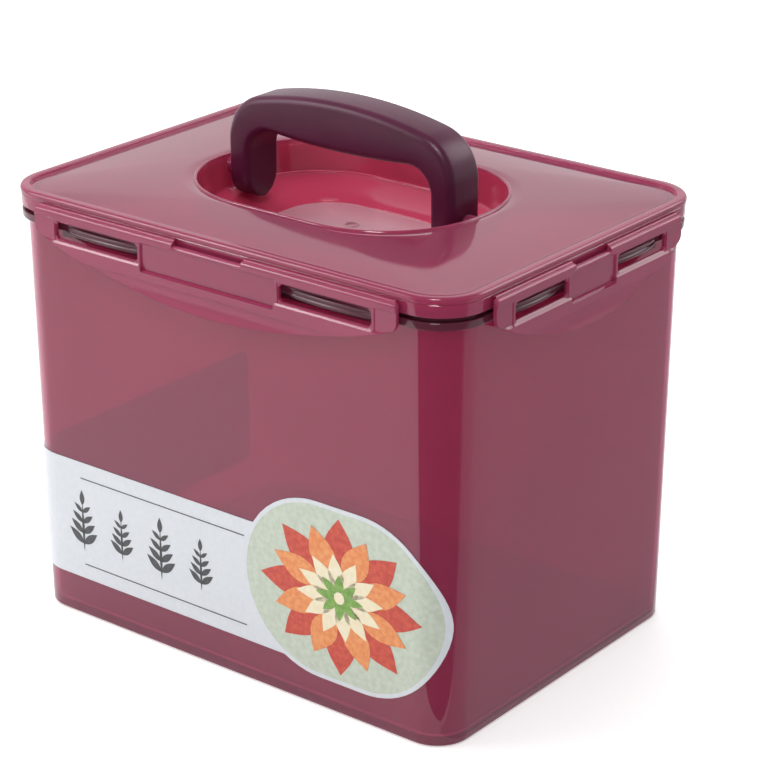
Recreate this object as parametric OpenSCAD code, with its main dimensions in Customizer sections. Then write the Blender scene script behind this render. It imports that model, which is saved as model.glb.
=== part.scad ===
// Rectangular food container with a domed lid, four hinged locking flaps and a folding handle.
// X runs along the long side, -Y is the front, Z is up, and the base rests on Z = 0.

/* [Container] */
// Length of the lid over its edge bead
lid_length = 230; // [212:1:260]
// Width of the lid over its edge bead
lid_width = 171; // [160:1:195]
// Height of the top of the lid's edge bead
lid_top = 187.5; // [150:0.5:240]
// Radius of the lid's corners in plan
corner_radius = 20.5; // [19:0.5:24]
// Thickness of the tub's side walls
wall = 2.2; // [1.8:0.1:2.6]
// How much each tub wall leans in from rim to base
draft = 2.5; // [1:0.25:4]
// Thickness of the tub's floor
floor_plate = 2.6; // [2.2:0.1:3.4]

/* [Lid] */
// Width of the raised bead round the lid
bead_width = 4.2; // [3.6:0.1:4.8]
// Depth of the panel's edge below the top of the bead
panel_drop = 3.2; // [2.8:0.1:3.6]
// Rise of the panel from its edge to the handle well
dome_rise = 4.8; // [3.6:0.1:5.6]
// Width of the rising part of the panel
dome_margin = 45; // [40:1:48]
// Thickness of the lid's sheet
sheet = 2; // [1.7:0.1:2.3]
// Depth of the outer skirt below the top of the bead
skirt_depth = 8; // [7.6:0.1:8.8]
// Thickness of the silicone seal
gasket_height = 1.4; // [1.1:0.1:1.6]

/* [Handle well] */
// Length of the well's mouth
well_length = 130; // [122:1:136]
// Width of the well's mouth
well_width = 96; // [92:1:104]
// Depth of the well's floor below its mouth
well_depth = 19.5; // [19:0.5:24]

/* [Handle] */
// Height of the grip at its middle, from underside to top
grip_height = 19.5; // [18:0.5:21]
// Thickness of the handle from front to back
handle_thickness = 20; // [17:0.5:20]
// Width of each leg along the handle
leg_width = 11.5; // [10:0.5:12.5]
// Radius of the pivot pins
pin_radius = 3; // [2.5:0.1:3.4]

/* [Flaps] */
// Height of a flap from its hinge to the lowest point of its lip
flap_depth = 26.6; // [26:0.2:29]
// Thickness of a flap
flap_plate = 2.1; // [1.9:0.1:2.4]
// How far the lip's ends sit above its middle
lip_curve = 16.3; // [14.5:0.1:17]
// How far the lip flares out at its lowest point
lip_flare = 1.4; // [0.8:0.1:2]
// Length of the windows in the front and back flaps
long_window = 44.5; // [38:0.5:48]
// Length of the windows in the end flaps
short_window = 34; // [28:0.5:36]

/* [Label] */
// Height of the label's strip
label_height = 54; // [46:1:60]
// Height of the label's round end
label_round = 77; // [66:1:84]

/* [Hidden] */
$fn = 96;

// Small lengths shared by several pieces
joint_gap = 0.35;
film = 0.4;
web_radius = 0.3;
overlap = 1;

// Corner axes shared by the lid, the seal and the tub
axis_x = lid_length / 2 - corner_radius;
axis_y = lid_width / 2 - corner_radius;

// Distances out from the corner axes
bead_in = corner_radius - bead_width;
skirt_out = corner_radius - 0.3;
skirt_in = skirt_out - 1.8;
tub_out = skirt_in - 0.9;
tub_in = tub_out - wall;
plug_out = tub_in - 0.8;
plug_in = plug_out - 1.6;
flange_out = corner_radius - 0.5;
hinge_out = corner_radius + 1.1;
flap_in = hinge_out + web_radius;
flap_out = flap_in + flap_plate;
lug_out = flap_in - joint_gap;

// Heights
panel_top = lid_top - panel_drop;
channel_top = panel_top - sheet;
well_edge = panel_top + dome_rise;
skirt_bottom = lid_top - skirt_depth;
plug_bottom = skirt_bottom - 5;
flange_top = skirt_bottom - 1.9;
flange_bottom = flange_top - 3.1;
tub_top = channel_top - gasket_height - 0.2;
hinge_z = lid_top - 3.6;

// Tub walls
base_out = tub_out - draft;
lean = draft / flange_bottom;
lean_angle = atan(lean);
foot_round = 1.2;
inner_round = 4;

// Lid panel
dome_x = lid_length / 2 - bead_width - dome_margin;
dome_y = lid_width / 2 - bead_width - dome_margin;
dome_radius = (pow(dome_margin, 2) + pow(dome_rise, 2)) / (2 * dome_rise);
bead_round = 1.5;
bead_height = 2.6;
seal_side_gap = 0.1;

// Handle well
well_radius = well_width / 2 - 4;
well_x = well_length / 2 - well_radius;
well_y = well_width / 2 - well_radius;
well_floor = well_edge - well_depth;
ledge_radius = well_radius - 3;
ledge_z = well_edge - 13;
floor_radius = well_radius - 12;
rim_round = 0.8;
rim_lift = 0.5;
ledge_step = 1.2;
floor_step = 0.5;

// Handle, measured from its pivot
pivot_drop = 4.8;
handle_end_gap = 7;
handle_side_gap = 8.2;
pivot_z = well_edge - pivot_drop;
handle_half = well_length / 2 - handle_end_gap;
handle_reach = well_width / 2 - handle_side_gap;
leg_in = handle_half - leg_width;
grip_under = handle_reach - grip_height;
grip_belly = 3;
outer_edge_round = 4;
inner_edge_round = 3;
opening_round = 11;
shoulder = 28;
arch = 148;
shoulder_x = handle_half - shoulder;
shoulder_lift = 0.45;
shoulder_z = handle_reach - arch + sqrt(pow(arch - shoulder, 2) - pow(shoulder_x, 2)) + shoulder_lift;
opening_x = leg_in - opening_round;
opening_z = grip_under + grip_belly - opening_round;
belly_meet = 0.4;
belly_rise = grip_belly - belly_meet;
belly_radius = (pow(opening_x, 2) + pow(belly_rise, 2)) / (2 * belly_rise);
boss_radius = 4.2;
pin_fit = 0.05;
pin_length = leg_width - 2;
pin_end_gap = 0.5;

// Flaps
long_half = axis_x - 2.6;
short_half = axis_y - 2.6;
window_top = hinge_z - 4.4;
window_height = 7.5;
window_end = 11.5;
bezel = 1.2;
bezel_depth = 0.5;
groove_z = hinge_z - 13.7;
groove_height = 0.8;
crease_z = hinge_z - 18.9;
lip_z = hinge_z - flap_depth;
lip_plate = 1.6;
flap_end_round = 4;
flap_top_round = 1.5;
notch_share = 0.19;
notch_depth = 1.5;
web_end = 1.5;
lug_height = 2.5;
lug_base = flange_bottom + 0.3;
lug_inset = 3;
lug_blend = 0.2;
lip_step = 0.7;
panel_inset = 2;

// Label
label_film = 0.3;
label_base = 18;
label_depth = corner_radius + overlap;
label_wrap = 0.92 * axis_y;
label_corner = 4;
label_centre_x = 0.62 * axis_x;
label_centre_z = 52;
label_straight = 11;

// Sweeps a section round a rounded rectangle whose corner axes lie at x and y
module ring(x, y) {
    for (turn = [0, 180])
        rotate([0, 0, turn]) {
            translate([x, 0, 0])
                rotate([90, 0, 0])
                    linear_extrude(2 * y, center = true)
                        children();
            translate([0, y, 0])
                rotate([90, 0, 90])
                    linear_extrude(2 * x, center = true)
                        children();
            translate([x, y, 0])
                rotate_extrude(angle = 90)
                    children();
            translate([-x, y, 0])
                rotate([0, 0, 90])
                    rotate_extrude(angle = 90)
                        children();
        }
}

// Box centred on the vertical axis between two heights
module slab(x, y, low, high) {
    translate([-x, -y, low])
        cube([2 * x, 2 * y, high - low]);
}

// Rectangle between two distances and two heights
module block(near, far, low, high) {
    translate([near, low])
        square([far - near, high - low]);
}

// Places a piece drawn for the front on one of the four sides
module on_side(turn) {
    rotate([0, 0, turn])
        children();
}

// Draws a section of distance and height along the front side
module along_front(length) {
    rotate([90, 0, -90])
        linear_extrude(length, center = true)
            children();
}

// Tub wall and floor under the slope of the draft, with a rounded lower edge
module lean_section(outer, low, high, round_by) {
    centre = outer + lean * (low + round_by) - round_by / cos(lean_angle);
    translate([centre, low + round_by])
        circle(round_by);
    polygon([
        [0, low],
        [centre, low],
        [centre + round_by * cos(lean_angle), low + round_by * (1 - sin(lean_angle))],
        [outer + lean * high, high],
        [0, high]
    ]);
}

module tub_section() {
    difference() {
        union() {
            lean_section(base_out, 0, flange_bottom + overlap, foot_round);
            block(0, tub_out, flange_bottom, tub_top - wall / 2);
            translate([tub_out - wall / 2, tub_top - wall / 2])
                circle(wall / 2);
            block(0, flange_out, flange_bottom, flange_top);
        }
        lean_section(base_out - wall, floor_plate, flange_bottom, inner_round);
        block(-overlap, tub_in, flange_bottom - overlap, tub_top + overlap);
    }
}

// One crescent lug under a flap window
module lug(axis, middle, length) {
    bulge = lug_out - flange_out + lug_blend;
    bow = (pow(length / 2, 2) + pow(bulge, 2)) / (2 * bulge);
    translate([middle, -axis, lug_base])
        linear_extrude(lug_height)
            intersection() {
                translate([0, bow - lug_out])
                    circle(bow);
                translate([-length / 2, -lug_out])
                    square([length, lug_out - flange_out + overlap]);
            }
}

module lug_pair(axis, half, window) {
    for (side = [-1, 1])
        lug(axis, side * (half - window_end - window / 2), window - lug_inset);
}

module tub() {
    color([0.56, 0.16, 0.27, 0.7]) {
        ring(axis_x, axis_y)
            tub_section();
        slab(axis_x, axis_y, 0, floor_plate);
        for (turn = [0, 180]) {
            on_side(turn)
                lug_pair(axis_y, long_half, long_window);
            on_side(turn + 90)
                lug_pair(axis_x, short_half, short_window);
        }
    }
}

// Outline of the label seen from the front, running on past the left corner
module label_front() {
    block(-axis_x - label_depth, label_centre_x, label_base, label_base + label_height);
    for (side = [-1, 1])
        translate([label_centre_x + side * label_straight, label_centre_z])
            circle(label_round / 2);
    translate([label_centre_x - label_straight, label_centre_z - label_round / 2])
        square([2 * label_straight, label_round]);
}

// Outline of the label on the left wall, with rounded corners at its end
module label_side() {
    top = label_base + label_height;
    block(-axis_y - label_depth, label_wrap - label_corner, label_base, top);
    block(-axis_y, label_wrap, label_base + label_corner, top - label_corner);
    for (height = [label_base + label_corner, top - label_corner])
        translate([label_wrap - label_corner, height])
            circle(label_corner);
}

// Skin of the tub's walls at the height of the label
module label_skin() {
    low = label_centre_z - label_round / 2 - overlap;
    high = label_centre_z + label_round / 2 + overlap;
    polygon([
        [base_out + lean * low, low],
        [base_out + label_film + lean * low, low],
        [base_out + label_film + lean * high, high],
        [base_out + lean * high, high]
    ]);
}

module label() {
    color([0.93, 0.94, 0.95])
        intersection() {
            ring(axis_x, axis_y)
                label_skin();
            union() {
                translate([0, -axis_y, 0])
                    rotate([90, 0, 0])
                        linear_extrude(label_depth)
                            label_front();
                translate([-axis_x - label_depth, 0, 0])
                    rotate([90, 0, 90])
                        linear_extrude(label_depth)
                            label_side();
            }
        }
}

// Bead, skirt, seal channel and locating wall
module lid_edge_outline() {
    difference() {
        union() {
            block(0, bead_in + bead_round, channel_top, panel_top);
            block(plug_in, plug_out, plug_bottom, panel_top);
            block(skirt_in, skirt_out, skirt_bottom, panel_top);
            block(skirt_in, corner_radius, lid_top - bead_height, lid_top - bead_round);
            block(bead_in, skirt_out, channel_top, lid_top - bead_round);
            block(bead_in + bead_round, corner_radius - bead_round, channel_top, lid_top);
            for (centre = [bead_in + bead_round, corner_radius - bead_round])
                translate([centre, lid_top - bead_round])
                    circle(bead_round);
        }
        block(plug_out, skirt_in, plug_bottom, channel_top);
    }
}

module dome_section(thinner) {
    intersection() {
        translate([0, well_edge - dome_radius])
            circle(dome_radius - thinner);
        block(0, dome_margin, channel_top - thinner, well_edge);
    }
}

module dome(thinner) {
    ring(dome_x, dome_y)
        dome_section(thinner);
    slab(dome_x, dome_y, channel_top - thinner, well_edge - thinner);
}

module well_outer_section() {
    polygon([
        [0, well_floor - sheet],
        [floor_radius + floor_step, well_floor - sheet],
        [ledge_radius + sheet, ledge_z - ledge_step],
        [well_radius + sheet, well_edge - rim_round],
        [0, well_edge - rim_round]
    ]);
    translate([well_radius + rim_round, well_edge + rim_lift - rim_round])
        circle(rim_round);
}

module well_inner_section() {
    polygon([
        [0, well_floor],
        [floor_radius, well_floor],
        [ledge_radius, ledge_z],
        [well_radius, well_edge],
        [well_radius, well_edge + overlap],
        [0, well_edge + overlap]
    ]);
}

module well_outer() {
    ring(well_x, well_y)
        well_outer_section();
    slab(well_x, well_y, well_floor - sheet, well_edge - rim_round);
}

module well_inner() {
    ring(well_x, well_y)
        well_inner_section();
    slab(well_x, well_y, well_floor, well_edge + overlap);
}

// Boss and pin that carry one leg of the handle
module pivot() {
    boss_start = handle_half + joint_gap;
    translate([boss_start, 0, pivot_z])
        rotate([0, 90, 0])
            cylinder(h = well_length / 2 - boss_start, r = boss_radius);
    translate([handle_half - pin_length, 0, pivot_z])
        rotate([0, 90, 0])
            cylinder(h = pin_length + overlap, r = pin_radius);
}

module lid() {
    color([0.62, 0.2, 0.32, 0.75]) {
        difference() {
            union() {
                difference() {
                    union() {
                        ring(axis_x, axis_y)
                            lid_edge_outline();
                        slab(axis_x, axis_y, channel_top, panel_top);
                        dome(0);
                    }
                    dome(sheet);
                }
                well_outer();
            }
            well_inner();
        }
        pivot();
        mirror([1, 0, 0])
            pivot();
    }
}

module gasket() {
    color([0.88, 0.86, 0.84])
        ring(axis_x, axis_y)
            block(
                plug_out + seal_side_gap, skirt_in - seal_side_gap,
                channel_top - gasket_height, channel_top
            );
}

// Section of a bar that reaches out from its axis and is rounded on its outer side
module bar_section(reach, edge) {
    half = handle_thickness / 2;
    block(0, reach - edge, -half, half);
    block(0, reach, edge - half, half - edge);
    for (side = [-1, 1])
        translate([reach - edge, side * (half - edge)])
            circle(edge);
}

// Leg, round foot and shoulder at one end of the handle
module handle_end() {
    translate([shoulder_x, 0, 0])
        linear_extrude(shoulder_z)
            bar_section(shoulder, outer_edge_round);
    translate([shoulder_x, 0, shoulder_z])
        rotate([90, 0, 0])
            rotate_extrude(angle = 90)
                bar_section(shoulder, outer_edge_round);
    intersection() {
        translate([shoulder_x, 0, 0])
            rotate([0, 90, 0])
                cylinder(h = shoulder, r = handle_thickness / 2);
        translate([shoulder_x, 0, -handle_thickness])
            linear_extrude(2 * handle_thickness)
                bar_section(shoulder, outer_edge_round);
    }
}

// Handle without its opening, under the rounded rim of a large disc
module handle_outer() {
    intersection() {
        union() {
            handle_end();
            mirror([1, 0, 0])
                handle_end();
            slab(shoulder_x, handle_thickness / 2, 0, handle_reach + overlap);
        }
        translate([0, 0, handle_reach - arch])
            rotate([90, 0, 0])
                rotate_extrude()
                    bar_section(arch, outer_edge_round);
    }
}

// Section of the cut for the fingers, widening to round the handle's inner edges
module opening_section() {
    half = handle_thickness / 2;
    wide = opening_round + inner_edge_round;
    block(0, opening_round, -handle_thickness, handle_thickness);
    for (side = [0, 1])
        mirror([0, side])
            difference() {
                block(0, wide, half - inner_edge_round, handle_thickness);
                translate([wide, half - inner_edge_round])
                    circle(inner_edge_round);
            }
}

module opening_end() {
    translate([opening_x, 0, opening_z])
        rotate([90, 0, 0])
            rotate_extrude(angle = 90)
                opening_section();
    translate([opening_x, 0, -handle_thickness])
        linear_extrude(opening_z + handle_thickness)
            opening_section();
}

// Cut for the fingers, less the curved belly of the grip above it
module opening() {
    difference() {
        union() {
            opening_end();
            mirror([1, 0, 0])
                opening_end();
            translate([0, 0, opening_z])
                rotate([0, -90, 0])
                    linear_extrude(2 * opening_x, center = true)
                        opening_section();
            slab(opening_x, handle_thickness, -handle_thickness, opening_z);
        }
        translate([0, 0, grip_under + belly_radius])
            rotate([90, 0, 0])
                rotate_extrude()
                    bar_section(belly_radius, inner_edge_round);
    }
}

// Blind bore for a pivot pin
module pin_bore() {
    translate([handle_half - pin_length - pin_end_gap, 0, 0])
        rotate([0, 90, 0])
            cylinder(h = leg_width, r = pin_radius + pin_fit);
}

module handle() {
    color([0.3, 0.15, 0.23])
        translate([0, 0, pivot_z])
            difference() {
                handle_outer();
                opening();
                pin_bore();
                mirror([1, 0, 0])
                    pin_bore();
            }
}

// Section of a flap: flat plate, crease, then a lip that flares out
module flap_section() {
    difference() {
        polygon([
            [flap_in, hinge_z],
            [flap_in, crease_z],
            [flap_in + lip_flare, lip_z],
            [flap_in + lip_flare + lip_plate, lip_z],
            [flap_in + lip_plate, crease_z],
            [flap_out, crease_z + lip_step],
            [flap_out, hinge_z]
        ]);
        difference() {
            block(
                flap_out - flap_top_round, flap_out + overlap,
                hinge_z - flap_top_round, hinge_z + overlap
            );
            translate([flap_out - flap_top_round, hinge_z - flap_top_round])
                circle(flap_top_round);
        }
    }
}

// Outline of a flap seen from outside, with a curved lower edge and rounded ends
module flap_outline(half) {
    sweep = (pow(half, 2) + pow(lip_curve, 2)) / (2 * lip_curve);
    end_x = half - flap_end_round;
    end_z = lip_z + sweep - sqrt(pow(sweep - flap_end_round, 2) - pow(end_x, 2));
    intersection() {
        translate([0, lip_z + sweep])
            circle(sweep);
        union() {
            block(-end_x, end_x, lip_z, hinge_z);
            block(-half, half, end_z, hinge_z);
            for (side = [-1, 1])
                translate([side * end_x, end_z])
                    circle(flap_end_round);
        }
    }
}

// Cuts in the face of a flap: notch, windows with bezels, sunk middle and groove
module flap_cuts(half, window) {
    outer = half - window_end;
    inner = outer - window;
    face = flap_out - bezel_depth;
    through = flap_in - overlap;
    front_cut(-notch_share * half, notch_share * half, hinge_z - notch_depth, hinge_z + overlap, through);
    for (side = [0, 1])
        mirror([side, 0, 0]) {
            front_cut(inner, outer, window_top - window_height, window_top, through);
            front_cut(inner - bezel, outer + bezel, window_top - window_height, window_top + bezel, face);
        }
    panel = inner - bezel - panel_inset;
    front_cut(-panel, panel, groove_z, window_top + bezel, face);
    front_cut(-panel - bezel, panel + bezel, groove_z - groove_height, groove_z, face - bezel_depth);
}

// Box cut into the front side from outside down to a given distance
module front_cut(left, right, low, high, distance) {
    translate([left, -flap_out - overlap, low])
        cube([right - left, flap_out + overlap - distance, high - low]);
}

module flap(axis, half, window) {
    translate([0, -axis, 0])
        difference() {
            intersection() {
                along_front(2 * half)
                    flap_section();
                translate([0, -flap_in + overlap, 0])
                    rotate([90, 0, 0])
                        linear_extrude(flap_plate + lip_flare + 2 * overlap)
                            flap_outline(half);
            }
            flap_cuts(half, window);
        }
}

// Thin film that bends from the skirt into the top of a flap
module web(axis, half, side) {
    start = notch_share * half;
    finish = half - web_end;
    translate([side * (start + finish) / 2, -axis, 0])
        along_front(finish - start) {
            block(skirt_out, hinge_out, hinge_z + web_radius, hinge_z + web_radius + film);
            translate([hinge_out, hinge_z])
                intersection() {
                    difference() {
                        circle(web_radius + film);
                        circle(web_radius);
                    }
                    square(web_radius + film);
                }
        }
}

module long_flap() {
    color([0.6, 0.19, 0.31, 0.8])
        flap(axis_y, long_half, long_window);
}

module short_flap() {
    color([0.6, 0.19, 0.31, 0.8])
        flap(axis_x, short_half, short_window);
}

module long_web(side) {
    color([0.6, 0.19, 0.31, 0.8])
        web(axis_y, long_half, side);
}

module short_web(side) {
    color([0.6, 0.19, 0.31, 0.8])
        web(axis_x, short_half, side);
}

module front_flap() {
    long_flap();
}

module back_flap() {
    on_side(180)
        long_flap();
}

module left_flap() {
    on_side(-90)
        short_flap();
}

module right_flap() {
    on_side(90)
        short_flap();
}

module front_web_left() {
    long_web(-1);
}

module front_web_right() {
    long_web(1);
}

module back_web_left() {
    on_side(180)
        long_web(1);
}

module back_web_right() {
    on_side(180)
        long_web(-1);
}

module left_web_front() {
    on_side(-90)
        short_web(1);
}

module left_web_back() {
    on_side(-90)
        short_web(-1);
}

module right_web_front() {
    on_side(90)
        short_web(-1);
}

module right_web_back() {
    on_side(90)
        short_web(1);
}

tub();
label();
lid();
gasket();
handle();
front_flap();
back_flap();
left_flap();
right_flap();
front_web_left();
front_web_right();
back_web_left();
back_web_right();
left_web_front();
left_web_back();
right_web_front();
right_web_back();
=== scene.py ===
"""Looks for a food storage container with a domed lid, locking flaps and a folding handle."""

import math

import bmesh
import bpy
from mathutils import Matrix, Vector


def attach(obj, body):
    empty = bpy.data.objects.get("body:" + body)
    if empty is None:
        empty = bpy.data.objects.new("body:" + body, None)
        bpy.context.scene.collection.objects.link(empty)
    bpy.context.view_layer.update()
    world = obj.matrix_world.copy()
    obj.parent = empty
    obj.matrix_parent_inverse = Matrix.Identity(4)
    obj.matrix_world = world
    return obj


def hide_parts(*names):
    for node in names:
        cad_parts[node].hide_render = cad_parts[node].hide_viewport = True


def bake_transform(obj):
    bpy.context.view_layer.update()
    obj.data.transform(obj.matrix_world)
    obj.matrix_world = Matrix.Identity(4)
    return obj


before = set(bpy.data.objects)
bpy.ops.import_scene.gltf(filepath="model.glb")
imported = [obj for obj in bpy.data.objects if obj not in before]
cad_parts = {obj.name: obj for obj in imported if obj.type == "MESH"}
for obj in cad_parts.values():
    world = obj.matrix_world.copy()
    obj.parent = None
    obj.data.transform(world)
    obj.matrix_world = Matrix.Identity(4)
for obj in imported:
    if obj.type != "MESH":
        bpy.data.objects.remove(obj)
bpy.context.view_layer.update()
MM = 0.001
SHARP_ANGLE = math.radians(35)

# Sizes in millimetres, most of them the same as in the part's source
AXIS_X = 94.5
AXIS_Y = 65.0
SHEET = 2.0

# Tub, as distances out from the corner axes and as heights
BASE_OUT = 15.0
LEAN = 2.5 / 174.5
WALL = 2.2
FLOOR_PLATE = 2.6
FOOT_ROUND = 1.2
INNER_ROUND = 4.0
FLANGE_OUT = 20.0
FLANGE_BOTTOM = 174.5
FLANGE_TOP = 177.6
TUB_OUT = 17.5
TUB_TOP = 180.7
LUG_OUT = 21.55
LUG_LOW = 173.3
LUG_HIGH = 177.3
LUG_ROOT = 18.5
LUG_SHORT = 3.0
LUG_SINK = 0.2
LUG_TAPER = 4
# Lowest height of the band of painted shade under the flange, on the straight sides behind the flaps
PAINTED_SHADE_LOW = 171.2
FLANGE_ROUND = 0.4
WALL_HEIGHTS = (45, 90, 135)
FOOT_HEIGHT = 6
BASE_FLAT = 4
NECK_STEP = 0.3
CORNER_RUN = 12.0

# Edge of the lid, as distances out from the corner axes and as heights
LID_TOP = 187.5
PANEL_EDGE = 186.1
CHANNEL_TOP = 182.3
SKIRT_BOTTOM = 179.5
PLUG_BOTTOM = 174.5
BEAD_OUT = 20.5
BEAD_IN = 16.3
BEAD_ROUND = 1.5
BEAD_LIP = 0.6
PANEL_ROUND = 0.3
LIP_ROUND = 0.4
SKIRT_ROUND = 0.5
GROOVE_DEPTH = 0.2
GROOVE_HEIGHTS = (184.5, 184.75, 185.0)
BEAD_LOW = 185.4
PANEL_INSET = 0.9
DOME_BEND = 0.5
SKIRT_OUT = 20.2
SKIRT_IN = 18.4
PLUG_OUT = 14.5
PLUG_IN = 12.9
SEAL_GAP = 0.1
SEAL_HEIGHT = 1.4
SEAL_ROOF_GAP = 0.06
SEAL_ROUND = 0.4

# Well for the folded handle
WELL_X = 21.0
WELL_Y = 4.0
WELL_RADIUS = 44.0
WELL_EDGE = 189.1
LEDGE_RADIUS = 41.0
LEDGE_Z = 175.4
FLOOR_X = 15.0
FLOOR_RADIUS = 21.5
WELL_FLOOR = 169.6
FLOOR_RISE = 1.6
RIM_ROUND = 0.8
RIM_LIFT = 0.5
LEDGE_ROUND = 1.4
SLOPE_POWER = 1.6
UNDER_RADIUS = 34.0
UNDER_RISE = 0.6
UNDER_LEDGE = (2.2, 0.2)
UNDER_WALL = [(1.4, -3.2), (1.8, -2.4)]
UNDER_PANEL = 2.6
LEDGE_IN = 1.3
LEDGE_UP = 1.0
SLOPE_STEPS = 8
FLOOR_STEPS = 6
GATE_RADIUS = 3.2
GATE_UNDER = 2.4
GATE_RINGS = [(3.0, 0.35), (2.6, 0.35), (2.3, -0.4), (1.0, -0.4)]

# Handle, with heights measured from its pivot
PIVOT_Z = 184.3
HANDLE_HALF = 58.0
HANDLE_REACH = 40.2
HANDLE_THICK = 20.0
LEG_WIDTH = 11.5
GRIP_HEIGHT = 20.6
GRIP_BELLY = 1.8
OUTER_EDGE = 3.5
INNER_EDGE = 3.0
OPENING_ROUND = 11.0
SHOULDER = 20.0
ARCH = 190.0
CROWN = 0.3
FOOT_TURN = 88
PIN_RADIUS = 3.0
PIN_FIT = 0.05
PIN_LENGTH = 9.5
PIN_BEVEL = 0.4
PIN_END_GAP = 0.5
BOSS_RADIUS = 3.5
BOSS_GAP = 0.35
BOSS_END = 65.0

# Flaps, as distances out from the corner axes and as heights
HINGE_Z = 183.9
HINGE_OUT = 21.6
FLAP_IN = 21.9
FLAP_OUT = 24.0
CREASE_Z = 165.0
LIP_Z = 157.3
LIP_CURVE = 16.3
LIP_FLARE = 1.4
LIP_PLATE = 1.6
END_ROUND = 4.0
TOP_ROUND = 1.5
NOTCH_SHARE = 0.19
NOTCH_DEPTH = 1.5
WINDOW_TOP = 179.5
WINDOW_BOTTOM = 172.0
WINDOW_END = 11.5
LONG_HALF = 91.9
SHORT_HALF = 62.4
LONG_WINDOW = 44.5
SHORT_WINDOW = 34.0
WEB_RADIUS = 0.3
WEB_FILM = 0.4
WEB_END = 1.5
WEB_START = 0.3
WEB_SINK = 0.15
WEB_BEND = 0.4

# Label on the tub's leaning walls
LABEL_LOW = 18.0
LABEL_HIGH = 72.0
LABEL_WRAP = 59.8
LABEL_CORNER = 4.0
LABEL_STEP = 4.0
OVAL_X = 58.59
OVAL_Z = 52.0
OVAL_STRAIGHT = 11.0
OVAL_RADIUS = 38.5
OVAL_MARGIN = 1.8
OVAL_STRETCH = 1.18
FILM_GAP = 0.06
FILM_TOP = 0.3
PRINT_LOW = 0.33
PRINT_STEP = 0.05
PRINT_THICK = 0.02
RULE_HEIGHTS = (24.5, 64.5)
RULE_THICK = 0.5
RULE_INSET = 14
RULE_END = 10
LEAF_BEND = 0.85
LEAF_TIP = 0.04
SPRIG_HEIGHT = 42.5
SPRIG_SIZES = (11.5, 9.5)
LEFT_SPRIGS = [-232 + 26 * k for k in range(5)]
FRONT_SPRIGS = [-80 + 22 * k for k in range(4)]
TIP_TURN = math.radians(88)

# Camera fitted to the photo, with its angles in degrees and its distance in metres
CAMERA_AZIMUTH = 38.25
CAMERA_ELEVATION = 22.14
CAMERA_TARGET = (14.72, 0, 106.76)
CAMERA_DISTANCE = 1.1089
SENSOR_WIDTH = 36.0
FOCAL_PIXELS = 2687.0
PHOTO_PIXELS = 760.0

# Floor and room, with lengths in metres and angles in degrees
FLOOR_HALF = 6.0
FLOOR_LEVEL = -0.0002
FLOOR_GLOW = 0.4
FLAG_LEVEL = 0.0001
FLAG_REACH = 3.0
CEILING_ANGLES = (30, 60)
ROOM_AZIMUTH = 40
ROOM_ANGLES = (75, 60)
DIM_LEVEL = 0.35
FILL_LEVEL = 0.6

# Cards on the floor: corner, middle and half of the angle, near edge, glow and its tint
FLAGS = {
    "front_flag": ((0.118, -0.089), 38.0, 62.0, 0.0005, 0.08, (1, 1, 1)),
    "side_flag": ((0.112, -0.085), 137.0, 43.0, 0.002, 0.7, (0.86, 0.95, 1)),
}

# Lamps: place and target in metres, width, and power in watts
LAMPS = {
    "top_light": ((-0.5, 0.3, 1.5), (0, 0, 0.1), 1.4, 16.0),
    "left_light": ((-1.2, -1.0, 0.9), (0, 0, 0.1), 1.0, 9.0),
    "key_light": ((0.3, -0.8, 1.35), (0, 0, 0.15), 0.35, 3.0),
    "rim_light": ((0.6, 1.1, 0.95), (0, 0, 0.15), 0.7, 5.0),
    "shoulder_light": ((0.36, -0.75, 1.15), (0.04, 0, 0.2), 0.3, 5.0),
    "edge_light": ((-0.8, -0.7, 0.95), (0, 0, 0.18), 0.3, 1.7),
}
MIRRORED_ONLY = ("rim_light", "shoulder_light", "edge_light")
NEVER_MIRRORED = ("top_light",)

# Looks of the tub's rings, where the rim is darker for its thick plastic and partly as painted shade
# under the lid and flaps, and the band under the flange is painted shade on the straight sides only, and
# of the lid's rows
TUB_CLEAR, TUB_RIM_PAINTED_SHADE, TUB_SIDES_PAINTED_SHADE = 0, 1, 2
# On the lid, the panel's paler look is painted sheen, the well walls' brighter look is painted light and
# the well floor's pale satin look is painted sheen over a real satin finish
LID_CLEAR, LID_PANEL_SHEEN, LID_SATIN_AND_SHEEN, LID_WELL_PAINTED_LIGHT = 0, 1, 2, 3


# Materials

def new_material(name):
    material = bpy.data.materials.new(name)
    material.use_nodes = True
    tree = material.node_tree
    return material, tree, tree.nodes["Principled BSDF"]


def set_sockets(node, **values):
    for name, value in values.items():
        node.inputs[name.replace("_", " ")].default_value = value


def object_noise(tree, scale, detail, roughness=0.5):
    coords = tree.nodes.new("ShaderNodeTexCoord")
    noise = tree.nodes.new("ShaderNodeTexNoise")
    set_sockets(noise, Scale=scale, Detail=detail, Roughness=roughness)
    tree.links.new(coords.outputs["Object"], noise.inputs["Vector"])
    return noise.outputs["Fac"]


def mottle(tree, shader, scale, detail, first, second, start=0.3):
    """Base colour that drifts between two close tones."""
    node = tree.nodes.new("ShaderNodeValToRGB")
    stops = [(start, first), (1 - start, second)]
    for element, (position, colour) in zip(node.color_ramp.elements, stops):
        element.position = position
        element.color = (*colour, 1)
    tree.links.new(object_noise(tree, scale, detail), node.inputs["Fac"])
    tree.links.new(node.outputs["Color"], shader.inputs["Base Color"])


def map_range(tree, source, start, finish, low, high):
    """Node that carries a value from one range into another."""
    node = tree.nodes.new("ShaderNodeMapRange")
    set_sockets(node, From_Min=start, From_Max=finish, To_Min=low, To_Max=high)
    tree.links.new(source, node.inputs["Value"])
    return node


def vary_gloss(tree, shader, source, low, high):
    node = map_range(tree, source, 0.3, 0.7, low, high)
    tree.links.new(node.outputs["Result"], shader.inputs["Roughness"])


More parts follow.
